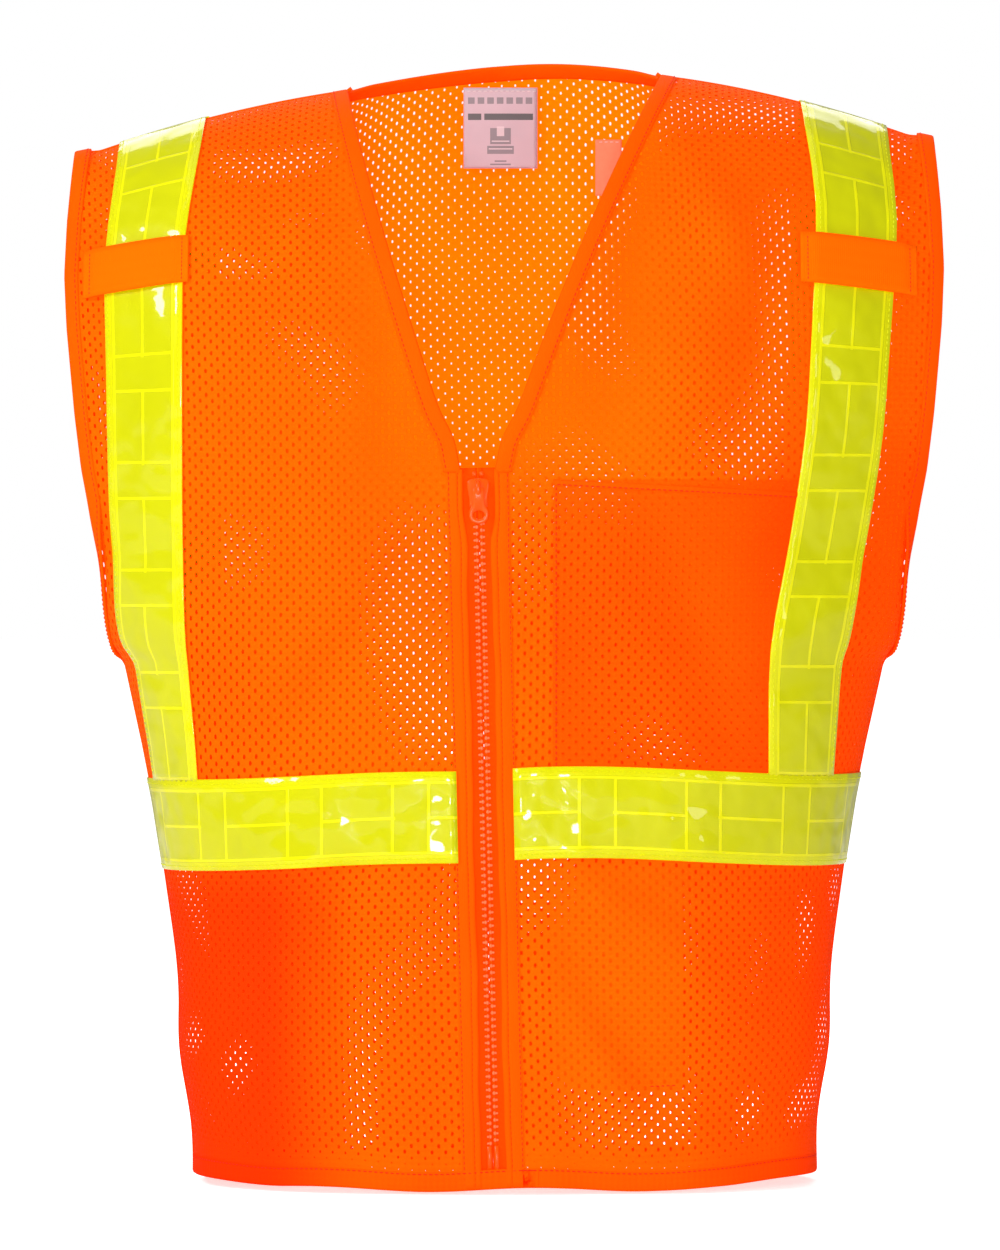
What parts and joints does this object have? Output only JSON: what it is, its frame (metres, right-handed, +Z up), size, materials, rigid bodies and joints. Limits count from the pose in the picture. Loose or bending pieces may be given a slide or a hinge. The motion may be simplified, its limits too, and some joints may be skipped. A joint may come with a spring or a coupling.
{
  "type": "high visibility vest",
  "caption": "Zip-front mesh safety vest in its worn shape, with glossy lime tape over the shoulders and round the waist, a chest pocket and two clip tabs.",
  "frame": {"origin": "middle of the hem plane, between the two side seams", "axes": "+Z up from the hem to the shoulders, -Y out of the front, +X towards the wearer's left side"},
  "size_m": [0.4928, 0.2565, 0.6227],
  "materials": {
    "mesh": "knitted polyester mesh with open holes, fluorescent orange",
    "binding": "plain knitted binding tape, folded over the edge and stitched",
    "zip_tape": "woven zip tape",
    "zip_moulding": "moulded acetal, orange",
    "zip_slider": "orange enamel",
    "webbing": "ribbed grosgrain webbing",
    "reflective_tape": "glossy lime PVC with raised grid lines",
    "label": "satin label cloth"
  },
  "bodies": {
    "back": {"back_panel": "mesh", "back_neck_binding": "binding", "back_waist_tape": "reflective_tape", "right_back_tape": "reflective_tape", "left_back_tape": "reflective_tape", "right_front_panel_outer": "mesh", "left_front_panel_outer": "mesh", "right_front_tape": "reflective_tape", "left_front_tape": "reflective_tape", "right_waist_tape_outer": "reflective_tape", "left_waist_tape_outer": "reflective_tape", "right_neck_binding_upper": "binding", "left_neck_binding_upper": "binding", "right_armhole_binding_front": "binding", "left_armhole_binding_front": "binding", "right_armhole_binding_back": "binding", "left_armhole_binding_back": "binding", "right_clip_tab": "webbing", "left_clip_tab": "webbing", "chest_pocket_outer": "mesh"},
    "right_front": {"right_front_panel_inner": "mesh", "right_neck_binding_lower": "binding", "right_waist_tape_inner": "reflective_tape", "right_zip_facing": "binding", "right_zip_tape": "zip_tape", "right_zip_teeth": "zip_moulding", "right_top_stop": "zip_moulding", "insertion_pin": "zip_moulding"},
    "left_front": {"left_front_panel_inner": "mesh", "left_neck_binding_lower": "binding", "left_waist_tape_inner": "reflective_tape", "chest_pocket_inner": "mesh", "inside_pocket": "mesh", "left_zip_facing": "binding", "left_zip_tape": "zip_tape", "left_zip_teeth": "zip_moulding", "left_top_stop": "zip_moulding", "retainer_box": "zip_moulding"},
    "slider": {"slider_body": "zip_slider"},
    "pull_tab": {"pull_tab": "zip_slider"},
    "size_label": {"size_label": "label"},
    "care_label": {"care_label": "label"}
  },
  "joints": [
    {"name": "right_front_open", "type": "hinge", "parent": "back", "child": "right_front", "pos_m": [-0.127, -0.11, 0], "axis": [-0.1214, 0.0594, -0.9908], "range_deg": [0, 80]},
    {"name": "left_front_open", "type": "hinge", "parent": "back", "child": "left_front", "pos_m": [0.127, -0.11, 0], "axis": [-0.1214, -0.0594, 0.9908], "range_deg": [0, 80]},
    {"name": "slider_travel", "type": "slide", "parent": "left_front", "child": "slider", "axis": [0.0225, 0, -0.9997], "range_m": [0, 0.34]},
    {"name": "pull_tab_swing", "type": "hinge", "parent": "slider", "child": "pull_tab", "pos_m": [-0.01434, -0.1349, 0.3885], "axis": [-0.9997, 0, -0.0225], "range_deg": [0, 170]},
    {"name": "size_label_flip", "type": "hinge", "parent": "back", "child": "size_label", "pos_m": [0, 0.0502, 0.617], "axis": [-1, 0, 0], "range_deg": [0, 120]},
    {"name": "care_label_flip", "type": "hinge", "parent": "back", "child": "care_label", "pos_m": [0.0595, 0.0642, 0.588], "axis": [-1, 0, 0], "range_deg": [0, 100]}
  ]
}
